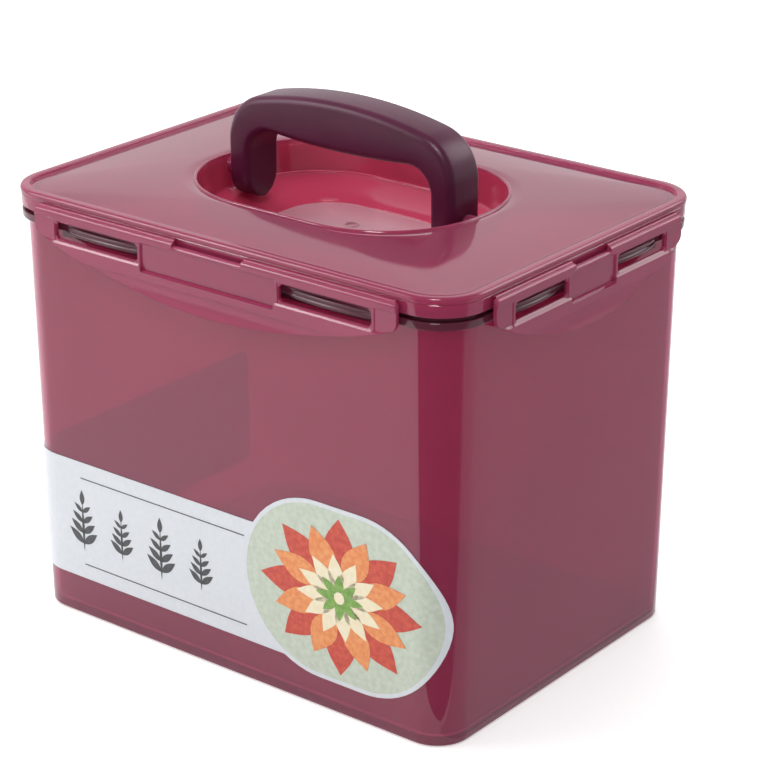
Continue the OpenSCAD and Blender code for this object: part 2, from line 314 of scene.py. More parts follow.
def bump(tree, shader, source, strength, distance):
    node = tree.nodes.new("ShaderNodeBump")
    set_sockets(node, Strength=strength, Distance=distance)
    tree.links.new(source, node.inputs["Height"])
    tree.links.new(node.outputs["Normal"], shader.inputs["Normal"])


def tinted_plastic(name, deep, pale, transmission):
    material, tree, shader = new_material(name)
    mottle(tree, shader, 14.0, 3.0, deep, pale)
    set_sockets(shader, IOR=1.49, Transmission_Weight=transmission)
    return material, tree, shader


def clear_plastic(name, deep, pale, transmission, gloss):
    material, tree, shader = tinted_plastic(name, deep, pale, transmission)
    smudge = object_noise(tree, 60.0, 4.0, 0.6)
    vary_gloss(tree, shader, smudge, *gloss)
    return material


def satin_plastic(name, deep, pale, transmission, gloss):
    material, tree, shader = tinted_plastic(name, deep, pale, transmission)
    grain = object_noise(tree, 1400.0, 2.0)
    bump(tree, shader, grain, 0.02, 0.0001)
    vary_gloss(tree, shader, grain, *gloss)
    return material


def matte_plastic(name, dark, light):
    material, tree, shader = new_material(name)
    mottle(tree, shader, 40.0, 4.0, dark, light)
    grain = object_noise(tree, 2600.0, 2.0)
    bump(tree, shader, grain, 0.2, 0.0002)
    vary_gloss(tree, shader, grain, 0.27, 0.37)
    set_sockets(shader, IOR=1.5, Specular_IOR_Level=0.32)
    return material


def soft_seal(name):
    material, tree, shader = new_material(name)
    mottle(tree, shader, 90.0, 3.0, (0.74, 0.71, 0.68), (0.82, 0.8, 0.77))
    bump(tree, shader, object_noise(tree, 900.0, 2.0), 0.15, 0.0002)
    set_sockets(shader, Roughness=0.55, Subsurface_Weight=0.3, Subsurface_Scale=0.002)
    return material


def print_film(name, colour, other, roughness=0.4):
    material, tree, shader = new_material(name)
    mottle(tree, shader, 420.0, 4.0, colour, other, 0.35)
    bump(tree, shader, object_noise(tree, 1800.0, 3.0), 0.04, 0.0001)
    set_sockets(shader, Roughness=roughness)
    return material


# Each plastic has two close tones, the share of light that it lets through and its range of roughness
tub_plastic = clear_plastic("tub_plastic", (0.44, 0.058, 0.146), (0.48, 0.066, 0.16), 0.68, (0.015, 0.04))
# Darker, nearly opaque tone for the tub's rim and lugs: thick plastic, and partly painted shade under the
# lid's skirt and behind the flaps' windows
tub_rim_painted_shade = clear_plastic("tub_rim_painted_shade", (0.1, 0.018, 0.036), (0.115, 0.022, 0.042), 0.1, (0.05, 0.09))
lid_clear = clear_plastic("lid_clear", (0.45, 0.056, 0.145), (0.49, 0.063, 0.16), 0.5, (0.05, 0.1))
# Paler copy of the lid's plastic for the top panel: painted sheen
lid_panel_painted_sheen = clear_plastic("lid_panel_painted_sheen", (0.48, 0.102, 0.2), (0.52, 0.112, 0.215), 0.7, (0.06, 0.1))
# Brighter copy of the lid's plastic for the well's walls: painted light from inside the well
lid_well_painted_light = clear_plastic("lid_well_painted_light", (0.72, 0.075, 0.165), (0.77, 0.085, 0.18), 0.45, (0.06, 0.1))
# Satin finish for the well floor, with a pale tone that is painted sheen from the light above
lid_satin_and_sheen = satin_plastic("lid_satin_and_sheen", (0.6, 0.26, 0.33), (0.64, 0.28, 0.35), 0.25, (0.28, 0.34))
handle_plastic = matte_plastic("handle_plastic", (0.066, 0.005, 0.028), (0.08, 0.008, 0.035))
seal_rubber = soft_seal("seal_rubber")
label_film = print_film("label_film", (0.66, 0.69, 0.73), (0.69, 0.72, 0.76), 0.35)
print_ink = print_film("print_ink", (0.035, 0.037, 0.04), (0.06, 0.062, 0.066))
print_sage = print_film("print_sage", (0.5, 0.56, 0.46), (0.58, 0.64, 0.54))
print_cream = print_film("print_cream", (0.84, 0.74, 0.5), (0.88, 0.8, 0.6))
print_red = print_film("print_red", (0.5, 0.045, 0.03), (0.62, 0.085, 0.045))
print_orange = print_film("print_orange", (0.74, 0.22, 0.07), (0.82, 0.34, 0.12))
print_green = print_film("print_green", (0.14, 0.3, 0.05), (0.24, 0.42, 0.09))


# Mesh helpers

def link_object(name, data):
    linked = bpy.data.objects.new(name, data)
    bpy.context.scene.collection.objects.link(linked)
    return linked


def shade(mesh):
    mesh.polygons.foreach_set("use_smooth", [True] * len(mesh.polygons))
    mesh.set_sharp_from_angle(angle=SHARP_ANGLE)


def add_piece(name, points, faces, materials, zones=None):
    """Links a mesh of points in millimetres, with its faces turned outwards."""
    mesh = bpy.data.meshes.new(name)
    mesh.from_pydata([[c * MM for c in point] for point in points], [], faces)
    for material in materials:
        mesh.materials.append(material)
    if zones:
        mesh.polygons.foreach_set("material_index", zones)
    work = bmesh.new()
    work.from_mesh(mesh)
    bmesh.ops.recalc_face_normals(work, faces=work.faces)
    work.to_mesh(mesh)
    work.free()
    shade(mesh)
    return link_object(name, mesh)


def combine(piece, tool, operation):
    """Joins a second solid to a piece, or cuts it away, and removes it."""
    modifier = piece.modifiers.new("combine", "BOOLEAN")
    modifier.object = tool
    modifier.operation = operation
    modifier.solver = "EXACT"
    graph = bpy.context.evaluated_depsgraph_get()
    mesh = bpy.data.meshes.new_from_object(piece.evaluated_get(graph))
    piece.modifiers.clear()
    piece.data = mesh
    bpy.data.objects.remove(tool)
    shade(mesh)


def place(piece, body, slot, *replaced):
    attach(piece, body)
    if replaced:
        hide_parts(*replaced)


def loft(loops, closed=False):
    """Points and quads that join loops of equal length, with flat ends unless the loops close."""
    count = len(loops[0])
    points = [point for loop in loops for point in loop]
    faces = []
    for row in range(len(loops) if closed else len(loops) - 1):
        near = row * count
        far = (row + 1) % len(loops) * count
        for k in range(count):
            step = (k + 1) % count
            faces.append((near + k, near + step, far + step, far + k))
    if not closed:
        faces.append(tuple(range(count)))
        faces.append(tuple(range(len(points) - count, len(points))))
    return points, faces


CORNERS = [(1, 1), (-1, 1), (-1, -1), (1, -1)]


def corner_loop(axis_x, axis_y, radius, height):
    """Rounded rectangle about the vertical axis, from its corner axes."""
    steps = 20
    points = []
    for quarter, (side_x, side_y) in enumerate(CORNERS):
        for step in range(steps + 1):
            turn = math.pi / 2 * (quarter + step / steps)
            x = side_x * axis_x + radius * math.cos(turn)
            y = side_y * axis_y + radius * math.sin(turn)
            points.append((x, y, height))
    return points


def side_loop(radius, height):
    """Rounded rectangle of the tub, with points on its straight sides too, a run from each corner."""
    steps = 14
    points = []
    for quarter, (side_x, side_y) in enumerate(CORNERS):
        turns = [math.pi / 2 * (quarter + step / steps) for step in range(steps + 1)]
        runs = [-CORNER_RUN] + [0] * (steps + 1) + [CORNER_RUN]
        for turn, run in zip([turns[0], *turns, turns[-1]], runs):
            x = side_x * AXIS_X + radius * math.cos(turn) - run * math.sin(turn)
            y = side_y * AXIS_Y + radius * math.sin(turn) + run * math.cos(turn)
            points.append((x, y, height))
    return points


def arc(centre, radius, start, finish, steps):
    """Pairs of distances along an arc, from a start to a finish in degrees."""
    for step in range(steps + 1):
        turn = math.radians(start + (finish - start) * step / steps)
        yield centre[0] + radius * math.cos(turn), centre[1] + radius * math.sin(turn)


def mix(low, high, share):
    return low + (high - low) * share


SIDES = {
    "front": (0, AXIS_Y, LONG_HALF, LONG_WINDOW),
    "back": (180, AXIS_Y, LONG_HALF, LONG_WINDOW),
    "left": (-90, AXIS_X, SHORT_HALF, SHORT_WINDOW),
    "right": (90, AXIS_X, SHORT_HALF, SHORT_WINDOW),
}


def on_side(side, along, out, height):
    """Point on one of the four sides, from the distance along it and out from its corner axes."""
    turn, axis = SIDES[side][:2]
    x, y = along, -(axis + out)
    cosine, sine = round(math.cos(math.radians(turn))), round(math.sin(math.radians(turn)))
    return x * cosine - y * sine, x * sine + y * cosine, height


# Tub

def tub_profile():
    """Distance, height and look of each ring, from the base over the rim to the inner floor."""
    wall_turn = math.degrees(math.atan(LEAN))
    foot = BASE_OUT + LEAN * FOOT_ROUND - FOOT_ROUND / math.cos(math.radians(wall_turn))
    inner = BASE_OUT - WALL + LEAN * (FLOOR_PLATE + INNER_ROUND)
    profile = [(foot - BASE_FLAT, 0, TUB_CLEAR)]

    def wall(height, look, inset=0):
        profile.append((BASE_OUT - inset + LEAN * height, height, look))

    def bend(look, *curve):
        profile.extend((radius, height, look) for radius, height in arc(*curve))

    bend(TUB_CLEAR, (foot, FOOT_ROUND), FOOT_ROUND, -90, -wall_turn, 5)
    for height in (FOOT_HEIGHT, *WALL_HEIGHTS):
        wall(height, TUB_CLEAR)
    wall(PAINTED_SHADE_LOW, TUB_SIDES_PAINTED_SHADE)
    wall(FLANGE_BOTTOM - FLANGE_ROUND, TUB_RIM_PAINTED_SHADE)
    profile.append((TUB_OUT + NECK_STEP, FLANGE_BOTTOM, TUB_RIM_PAINTED_SHADE))
    for height, start in ((FLANGE_BOTTOM + FLANGE_ROUND, -90), (FLANGE_TOP - FLANGE_ROUND, 0)):
        bend(TUB_RIM_PAINTED_SHADE, (FLANGE_OUT - FLANGE_ROUND, height), FLANGE_ROUND, start, start + 90, 3)
    profile.append((TUB_OUT, FLANGE_TOP, TUB_RIM_PAINTED_SHADE))
    bend(TUB_RIM_PAINTED_SHADE, (TUB_OUT - WALL / 2, TUB_TOP - WALL / 2), WALL / 2, 0, 180, 8)
    profile.append((TUB_OUT - WALL, FLANGE_BOTTOM, TUB_SIDES_PAINTED_SHADE))
    for height in (PAINTED_SHADE_LOW, *reversed(WALL_HEIGHTS)):
        wall(height, TUB_CLEAR, WALL)
    bend(TUB_CLEAR, (inner - INNER_ROUND, FLOOR_PLATE + INNER_ROUND), INNER_ROUND, -wall_turn, -90, 6)
    return profile


def lug_solid(side, hand):
    """Crescent bar with two ridges, on the tub's flange behind one window of a flap."""
    half, window = SIDES[side][2:]
    middle = hand * (half - WINDOW_END - window / 2)
    length = window - LUG_SHORT
    steps = 16
    loops = []
    for step in range(steps + 1):
        share = 2 * step / steps - 1
        swell = 1 - share ** 2
        reach = mix(FLANGE_OUT - LUG_SINK, LUG_OUT, swell)
        low = mix(FLANGE_BOTTOM + LUG_SINK, LUG_LOW, min(LUG_TAPER * swell, 1))
        ridge = (LUG_HIGH - low) / 4
        section = [
            (LUG_ROOT, low),
            *arc((reach - ridge, low + ridge), ridge, -90, 60, 8),
            *arc((reach - ridge, LUG_HIGH - ridge), ridge, -60, 90, 8),
            (LUG_ROOT, LUG_HIGH),
        ]
        along = middle + share * length / 2
        loops.append([on_side(side, along, out, height) for out, height in section])
    return loft(loops)


def build_tub():
    profile = tub_profile()
    loops = [side_loop(*ring[:2]) for ring in profile]
    count = len(loops[0])
    per_corner = count // 4
    zones = []
    for _, _, look in profile[:-1]:
        for k in range(count):
            # The rim's rows are always the dark look; the band under the flange takes it as painted shade
            # only on the straight runs
            on_run = k % per_corner == per_corner - 1
            dark = look == TUB_RIM_PAINTED_SHADE or (look == TUB_SIDES_PAINTED_SHADE and on_run)
            zones.append(TUB_RIM_PAINTED_SHADE if dark else TUB_CLEAR)
    looks = [tub_plastic, tub_rim_painted_shade]
    tub = add_piece("tub_shell", *loft(loops), looks, zones + [TUB_CLEAR] * 2)
    for side in SIDES:
        for hand in (-1, 1):
            lug_points, lug_faces = lug_solid(side, hand)
            # Lugs take the rim's dark look, partly painted shade inside the flaps' windows
            lug = add_piece("lug", lug_points, lug_faces, looks, [TUB_RIM_PAINTED_SHADE] * len(lug_faces))
            combine(tub, lug, "UNION")
    place(tub, "tub", "tub_plastic", "tub")


# Lid

def dome_ring(share, edge_radius, well_radius, drop):
    """Ring of the panel between its edge, at share 0, and the well, at share 1."""
    rise = WELL_EDGE - PANEL_EDGE
    height = PANEL_EDGE + rise * share * (1 + DOME_BEND - DOME_BEND * share) - drop
    radius = mix(edge_radius, well_radius, share)
    return mix(AXIS_X, WELL_X, share), mix(AXIS_Y, WELL_Y, share), radius, height


def lid_rings():
    """Rings from the middle of the underside out to the bead, then over the panel into the well.

    Rows that aren't plain clear plastic have their look in zones.
    """
    rings = []
    zones = {}
    dome_steps = 12

    def edge(radius, height):
        rings.append((AXIS_X, AXIS_Y, radius, height))

    def well(radius, height):
        rings.append((WELL_X, WELL_Y, radius, height))

    def sweep(put, *curve):
        for point in arc(*curve):
            put(*point)

    rings.append((0, 0, GATE_UNDER, WELL_FLOOR + FLOOR_RISE - SHEET))
    rings.append((FLOOR_X, WELL_Y, FLOOR_RADIUS, WELL_FLOOR - SHEET))
    well(UNDER_RADIUS, WELL_FLOOR + UNDER_RISE)
    well(LEDGE_RADIUS + UNDER_LEDGE[0], LEDGE_Z + UNDER_LEDGE[1])
    for out, up in UNDER_WALL:
        well(WELL_RADIUS + out, WELL_EDGE + up)
    for step in range(dome_steps, -1, -1):
        share = step / dome_steps
        rings.append(dome_ring(share, PLUG_IN - LIP_ROUND, WELL_RADIUS + UNDER_PANEL, SHEET))
    edge(PLUG_IN, CHANNEL_TOP - LIP_ROUND)
    sweep(edge, (PLUG_IN + LIP_ROUND, PLUG_BOTTOM + LIP_ROUND), LIP_ROUND, 180, 270, 3)
    sweep(edge, (PLUG_OUT - LIP_ROUND, PLUG_BOTTOM + LIP_ROUND), LIP_ROUND, -90, 0, 3)
    edge(PLUG_OUT, CHANNEL_TOP)
    edge(SKIRT_IN, CHANNEL_TOP)
    sweep(edge, (SKIRT_IN + LIP_ROUND, SKIRT_BOTTOM + LIP_ROUND), LIP_ROUND, 180, 270, 3)
    sweep(edge, (SKIRT_OUT - SKIRT_ROUND, SKIRT_BOTTOM + SKIRT_ROUND), SKIRT_ROUND, -90, 0, 4)
    for depth, height in zip((0, GROOVE_DEPTH, GROOVE_DEPTH), GROOVE_HEIGHTS):
        edge(SKIRT_OUT - depth, height)
    sweep(edge, (BEAD_OUT - LIP_ROUND, BEAD_LOW), LIP_ROUND, -70, 0, 3)
    sweep(edge, (BEAD_OUT - BEAD_ROUND, LID_TOP - BEAD_ROUND), BEAD_ROUND, 0, 90, 7)
    sweep(edge, (BEAD_IN + BEAD_LIP, LID_TOP - BEAD_LIP), BEAD_LIP, 90, 180, 5)
    sweep(edge, (BEAD_IN - PANEL_ROUND, PANEL_EDGE + PANEL_ROUND), PANEL_ROUND, 0, -90, 4)
    for step in range(dome_steps + 1):
        share = step / dome_steps
        # The panel rows take the paler look, painted sheen
        zones[len(rings)] = LID_PANEL_SHEEN
        rings.append(dome_ring(share, BEAD_IN - PANEL_INSET, WELL_RADIUS + 2 * RIM_ROUND, 0))
    rim = (WELL_RADIUS + RIM_ROUND, WELL_EDGE + RIM_LIFT - RIM_ROUND)
    sweep(well, rim, RIM_ROUND, 20, 180, 8)
    wall_start = len(rings) - 1
    sweep(well, (LEDGE_RADIUS - LEDGE_IN, LEDGE_Z + LEDGE_UP), LEDGE_ROUND, -10, -58, 5)
    ledge = rings[-1]
    for step in range(1, SLOPE_STEPS + 1):
        share = 1 - step / SLOPE_STEPS
        height = WELL_FLOOR + (ledge[3] - WELL_FLOOR) * share ** SLOPE_POWER
        rings.append((mix(FLOOR_X, WELL_X, share), WELL_Y, mix(FLOOR_RADIUS, ledge[2], share), height))
    # The well's walls take the brighter look, painted light
    zones.update((row, LID_WELL_PAINTED_LIGHT) for row in range(wall_start, len(rings)))
    # The well floor and the gate mark take the pale satin look, partly painted sheen
    zones[len(rings) - 1] = LID_SATIN_AND_SHEEN
    for step in range(1, FLOOR_STEPS + 1):
        share = step / FLOOR_STEPS
        zones[len(rings)] = LID_SATIN_AND_SHEEN
        rise = FLOOR_RISE * (1 - (1 - share) ** 2)
        size = mix(FLOOR_RADIUS, GATE_RADIUS, share)
        rings.append((mix(FLOOR_X, 0, share), mix(WELL_Y, 0, share), size, WELL_FLOOR + rise))
    gate = WELL_FLOOR + FLOOR_RISE
    for radius, up in GATE_RINGS:
        zones[len(rings)] = LID_SATIN_AND_SHEEN
        rings.append((0, 0, radius, gate + up))
    return rings, zones


def turned(stations, side):
    """Closed shape turned about the handle's axis through stations of distance and radius."""
    steps = 40
    turns = [2 * math.pi * k / steps for k in range(steps)]

    def ring(distance, radius):
        return [(side * distance, radius * math.cos(a), PIVOT_Z + radius * math.sin(a)) for a in turns]

    return loft([ring(*station) for station in stations])


def build_lid():
    rings, rows = lid_rings()
    loops = [corner_loop(*ring) for ring in rings]
    count = len(loops[0])
    zones = [rows.get(row, LID_CLEAR) for row in range(len(rings) - 1) for k in range(count)]
    looks = [lid_clear, lid_panel_painted_sheen, lid_satin_and_sheen, lid_well_painted_light]
    lid = add_piece("lid_shell", *loft(loops), looks, zones + [LID_CLEAR, LID_SATIN_AND_SHEEN])
    boss_start = HANDLE_HALF + BOSS_GAP
    pin_start = HANDLE_HALF - PIN_LENGTH
    stations = [
        (pin_start, PIN_RADIUS - PIN_BEVEL),
        (pin_start + PIN_BEVEL, PIN_RADIUS),
        (boss_start, PIN_RADIUS),
        (boss_start, BOSS_RADIUS - PIN_BEVEL),
        (boss_start + PIN_BEVEL, BOSS_RADIUS),
        (BOSS_END, BOSS_RADIUS),
    ]
    for side in (-1, 1):
        pivot = add_piece("pivot", *turned(stations, side), looks)
        combine(lid, pivot, "UNION")
    place(lid, "lid", "lid_plastic", "lid")


def build_seal():
    inner, outer = PLUG_OUT + SEAL_GAP, SKIRT_IN - SEAL_GAP
    top, low = CHANNEL_TOP - SEAL_ROOF_GAP, CHANNEL_TOP - SEAL_HEIGHT
    edge = SEAL_ROUND
    section = [
        *arc((inner + edge, low + edge), edge, 180, 270, 3),
        *arc((outer - edge, low + edge), edge, -90, 0, 3),
        *arc((outer - edge, top - edge), edge, 0, 90, 3),
        *arc((inner + edge, top - edge), edge, 90, 180, 3),
    ]
    loops = [corner_loop(AXIS_X, AXIS_Y, radius, height) for radius, height in section]
    seal = add_piece("seal_ring", *loft(loops, closed=True), [seal_rubber])
    place(seal, "lid", "seal", "gasket")


# Handle

def handle_half_stations():
    """Outer and inner points of the handle, with the share of its thickness, from middle to foot."""
    shoulder_x = HANDLE_HALF - SHOULDER
    bend = math.asin(shoulder_x / (ARCH - SHOULDER))
    shoulder_z = HANDLE_REACH - ARCH + (ARCH - SHOULDER) * math.cos(bend)
    leg_in = HANDLE_HALF - LEG_WIDTH
    under = HANDLE_REACH - GRIP_HEIGHT
    opening_x = leg_in - OPENING_ROUND
    opening_z = under + GRIP_BELLY - OPENING_ROUND
    grip_steps, corner_steps, leg_steps, foot_steps = 16, 18, 5, 12
    stations = []
    for step in range(grip_steps + 1):
        share = step / grip_steps
        outer = (ARCH * math.sin(bend * share), HANDLE_REACH - ARCH + ARCH * math.cos(bend * share))
        inner = (opening_x * share, under + GRIP_BELLY * share ** 2)
        stations.append((outer, inner, 1.0))
    for step in range(1, corner_steps + 1):
        share = 1 - step / corner_steps
        turn = (math.pi / 2 - bend) * share
        outer = (shoulder_x + SHOULDER * math.cos(turn), shoulder_z + SHOULDER * math.sin(turn))
        turn = math.pi / 2 * share
        inner = (opening_x + OPENING_ROUND * math.cos(turn), opening_z + OPENING_ROUND * math.sin(turn))
        stations.append((outer, inner, 1.0))
    for step in range(1, leg_steps + 1):
        share = 1 - step / leg_steps
        stations.append(((HANDLE_HALF, shoulder_z * share), (leg_in, opening_z * share), 1.0))
    for step in range(1, foot_steps + 1):
        turn = math.radians(FOOT_TURN) * step / foot_steps
        height = -HANDLE_THICK / 2 * math.sin(turn)
        stations.append(((HANDLE_HALF, height), (leg_in, height), math.cos(turn)))
    return stations


def handle_loop(outer, inner, thickness):
    """Section of the handle between an outer and an inner point, with rounded edges."""
    half = HANDLE_THICK / 2
    depth = math.dist(outer, inner)
    section = [
        *arc((OUTER_EDGE - half, depth - OUTER_EDGE), OUTER_EDGE, 180, 90, 7),
        *arc((half - OUTER_EDGE, depth - OUTER_EDGE), OUTER_EDGE, 90, 0, 7),
        *arc((half - INNER_EDGE, INNER_EDGE), INNER_EDGE, 0, -90, 6),
        *arc((INNER_EDGE - half, INNER_EDGE), INNER_EDGE, -90, -180, 6),
    ]
    loop = []
    for across, along in section:
        if along > depth / 2:
            along -= CROWN * (across / half) ** 2
        share = along / depth
        x = mix(inner[0], outer[0], share)
        z = mix(inner[1], outer[1], share)
        loop.append((x, across * thickness, PIVOT_Z + z))
    return loop


def build_handle():
    right = [handle_loop(*station) for station in handle_half_stations()]
    left = [[(-x, y, z) for x, y, z in loop] for loop in right[:0:-1]]
    handle = add_piece("handle_bar", *loft(left + right), [handle_plastic])
    bore_end = HANDLE_HALF - PIN_LENGTH - PIN_END_GAP
    for side in (-1, 1):
        stations = [(bore_end, PIN_RADIUS + PIN_FIT), (HANDLE_HALF + 1, PIN_RADIUS + PIN_FIT)]
        combine(handle, add_piece("bore", *turned(stations, side), [handle_plastic]), "DIFFERENCE")
    place(handle, "handle", "handle_plastic", "handle")


# Flaps

def slope(value, low, high):
    return min(max((value - low) / (high - low), 0), 1)


def inside(value, low, high, bevel):
    """1 between low and high, falling to 0 over the bevel outside them."""
    return min(slope(value, low - bevel, low), 1 - slope(value, high, high + bevel))


def spaced(marks, step):
    """Sorted marks with even steps filled in between them, leaving out marks that nearly meet."""
    nearest = 0.02
    marks = sorted(marks)
    kept = [marks[0]]
    for mark in marks[1:]:
        gap = mark - kept[-1]
        if gap < nearest:
            continue
        parts = math.ceil(gap / step)
        start = kept[-1]
        kept.extend(start + gap * part / parts for part in range(1, parts + 1))
    return kept


class FlapForm:
    """Outline and relief of one flap, by distance along it and height."""

    frame_wide = 1.5
    band_low = WINDOW_TOP + 1.2
    panel_low = 170.4
    groove_low = 169.3
    groove_high = 169.8
    strip_low = CREASE_Z + 0.4
    strip_high = 170.8
    strip_step = 0.6
    ledge = 0.7
    bevel = 0.4
    chamfer = 1.4
    top_corner = 1.2
    field_depth = 0.35
    sunk_depth = 0.5
    groove_depth = 0.95
    window_depth = 0.4
    rim_bulge = 0.28
    rim_shares = (0.22, 0.78)
    notch_edge = 0.15
    crease_edge = 0.3
    column_step = 3.0
    row_step = 1.6

    def __init__(self, half, window):
        self.half = half
        self.outer = half - WINDOW_END
        self.inner = self.outer - window
        self.panel = self.inner - self.frame_wide - 2 * self.bevel
        self.notch = NOTCH_SHARE * half
        self.sweep = (half ** 2 + LIP_CURVE ** 2) / (2 * LIP_CURVE)
        self.end_x = half - END_ROUND
        self.end_z = LIP_Z + self.sweep - math.sqrt((self.sweep - END_ROUND) ** 2 - self.end_x ** 2)

    def low(self, along):
        along = abs(along)
        arch = LIP_Z + self.sweep - math.sqrt(self.sweep ** 2 - along ** 2)
        if along <= self.end_x:
            return arch
        rounded = self.end_z - math.sqrt(max(END_ROUND ** 2 - (along - self.end_x) ** 2, 0))
        return max(arch, rounded)

    def high(self, along):
        along = abs(along)
        if along < self.notch:
            return HINGE_Z - NOTCH_DEPTH
        over = max(along - self.half + self.top_corner, 0)
        return HINGE_Z - self.top_corner + math.sqrt(max(self.top_corner ** 2 - over ** 2, 0))

    def columns(self):
        marks = [0, self.notch - self.notch_edge, self.notch + self.notch_edge]
        marks += [self.panel, self.panel + self.bevel]
        for edge, side in ((self.inner, -1), (self.outer, 1)):
            frame_edge = edge + side * self.frame_wide
            marks += [edge - side * self.chamfer, edge, edge + side * self.bevel]
            marks += [frame_edge, frame_edge + side * self.bevel]
        marks += [self.end_x + END_ROUND * math.sin(math.pi / 2 * k / 8) for k in range(9)]
        right = spaced(marks, self.column_step)
        return [-mark for mark in right[:0:-1]] + right

    def rows(self):
        bevel = self.bevel
        marks = [LIP_Z, CREASE_Z - self.crease_edge, CREASE_Z]
        marks += [self.strip_low, self.groove_low - self.ledge]
        marks += [self.groove_low, self.groove_high, self.panel_low - bevel, self.panel_low]
        marks += [self.strip_high, self.strip_high + self.ledge, WINDOW_BOTTOM - bevel, WINDOW_BOTTOM]
        marks += [WINDOW_BOTTOM + self.chamfer, WINDOW_TOP - self.chamfer, WINDOW_TOP, WINDOW_TOP + bevel]
        marks += [self.band_low - bevel, self.band_low]
        for top in (HINGE_Z - NOTCH_DEPTH, HINGE_Z):
            marks += [top - TOP_ROUND * (1 - math.sin(math.pi / 2 * k / 6)) for k in range(7)]
        return spaced(marks, self.row_step)

    def flare(self, height):
        return LIP_FLARE * slope(CREASE_Z - height, 0, CREASE_Z - LIP_Z) ** 2

    def back(self, height):
        return FLAP_IN + self.flare(height)

    def front(self, along, height):
        if height < CREASE_Z:
            return FLAP_IN + LIP_PLATE + self.flare(height)
        along_right = abs(along)
        bevel = self.bevel
        frame_start, frame_end = self.inner - self.frame_wide, self.outer + self.frame_wide
        across_frame = inside(along_right, frame_start, frame_end, bevel)
        frame_part = across_frame * inside(height, self.strip_high, HINGE_Z + 1, bevel)
        raised = max(frame_part, inside(height, self.band_low, HINGE_Z + 1, bevel))
        panel = inside(along_right, -1, self.panel, bevel)
        sunk = panel * inside(height, self.panel_low, self.band_low - 2 * bevel, bevel)
        groove = panel * inside(height, self.groove_low, self.groove_high, bevel)
        window = inside(along_right, self.inner, self.outer, bevel)
        window *= inside(height, WINDOW_BOTTOM, WINDOW_TOP, bevel)
        strip_top = mix(self.strip_high, self.groove_low - self.ledge, panel)
        strip = inside(height, self.strip_low, strip_top, self.ledge)
        depth = FLAP_OUT - self.field_depth * (1 - max(raised, strip)) - self.sunk_depth * sunk
        depth -= self.groove_depth * groove + self.window_depth * window
        over = max(height - self.high(along) + TOP_ROUND, 0)
        top = TOP_ROUND - math.sqrt(max(TOP_ROUND ** 2 - over ** 2, 0))
        return depth + self.strip_step * strip - top


def flap_grid(form):
    """Points of a flap's front, by distance along and height, and its faces, with open windows."""
    columns, rows = form.columns(), form.rows()
    points = []
    grid = []
    for along in columns:
        line = []
        for height in rows:
            held = min(max(height, form.low(along)), form.high(along))
            if not line or held - points[-1][1] > 1e-6:
                points.append((along, held))
            line.append(len(points) - 1)
        grid.append(line)
    faces = []
    for i in range(len(columns) - 1):
        for j in range(len(rows) - 1):
            quad = [grid[i][j], grid[i + 1][j], grid[i + 1][j + 1], grid[i][j + 1]]
            drop = window_part(form, (columns[i], rows[j]), (columns[i + 1], rows[j + 1]))
            quad = [corner for k, corner in enumerate(quad) if k not in drop]
            face = [corner for k, corner in enumerate(quad) if corner != quad[k - 1]]
            if len(face) > 2:
                faces.append(face)
    return points, faces


def window_part(form, low, high):
    """Corners of a cell that a window takes away: none, one at a chamfer, or all."""
    left, right = sorted((abs(low[0]), abs(high[0])))
    tiny = 1e-4
    if left < form.inner - tiny or right > form.outer + tiny:
        return ()
    if low[1] < WINDOW_BOTTOM - tiny or high[1] > WINDOW_TOP + tiny:
        return ()
    at_inner = left < form.inner + tiny
    at_outer = right > form.outer - tiny
    at_bottom = low[1] < WINDOW_BOTTOM + tiny
    at_top = high[1] > WINDOW_TOP - tiny
    if not (at_inner or at_outer) or not (at_bottom or at_top):
        return (0, 1, 2, 3)
    hole_right = at_inner == (low[0] > 0)
    if at_bottom:
        return (2,) if hole_right else (3,)
    return (1,) if hole_right else (0,)


def rim_edges(faces):
    """Edges that belong to one face alone, in the direction that the face runs."""
    directed = set()
    for face in faces:
        directed.update((face[k - 1], face[k]) for k in range(len(face)))
    return [edge for edge in directed if (edge[1], edge[0]) not in directed]


def flap_solid(form):
    """Closed flap, as distance along, distance out and height, with rounded rims."""
    flat, faces = flap_grid(form)
    count = len(flat)
    edges = sorted(rim_edges(faces))
    lean_out = {}
    for start, finish in edges:
        run = (flat[finish][0] - flat[start][0], flat[finish][1] - flat[start][1])
        length = math.hypot(*run)
        for end in (start, finish):
            out = lean_out.setdefault(end, [0.0, 0.0])
            out[0] += run[1] / length
            out[1] -= run[0] / length
    points = [(along, form.front(along, height), height) for along, height in flat]
    points += [(along, form.back(height), height) for along, height in flat]
    rims = {}
    for corner, out in lean_out.items():
        along, height = flat[corner]
        length = max(math.hypot(*out), 1e-6)
        at_top = height > form.high(along) - 1e-3
        bulge = 0 if at_top else form.rim_bulge / length
        front, back = points[corner][1], points[corner + count][1]
        rims[corner] = []
        for share in form.rim_shares:
            rims[corner].append(len(points))
            points.append((along + out[0] * bulge, mix(front, back, share), height + out[1] * bulge))
    solid = [tuple(face) for face in faces]
    solid += [tuple(corner + count for corner in reversed(face)) for face in faces]
    for start, finish in edges:
        steps = [(start, finish), *zip(rims[start], rims[finish]), (start + count, finish + count)]
        for (a, b), (c, d) in zip(steps, steps[1:]):
            solid.append((b, a, c, d))
    return points, solid


def build_flap(side):
    points, faces = flap_solid(FlapForm(*SIDES[side][2:]))
    placed = [on_side(side, *point) for point in points]
    flap = add_piece(f"{side}_flap_panel", placed, faces, [lid_clear])
    place(flap, f"{side}_flap", "lid_plastic", f"{side}_flap")


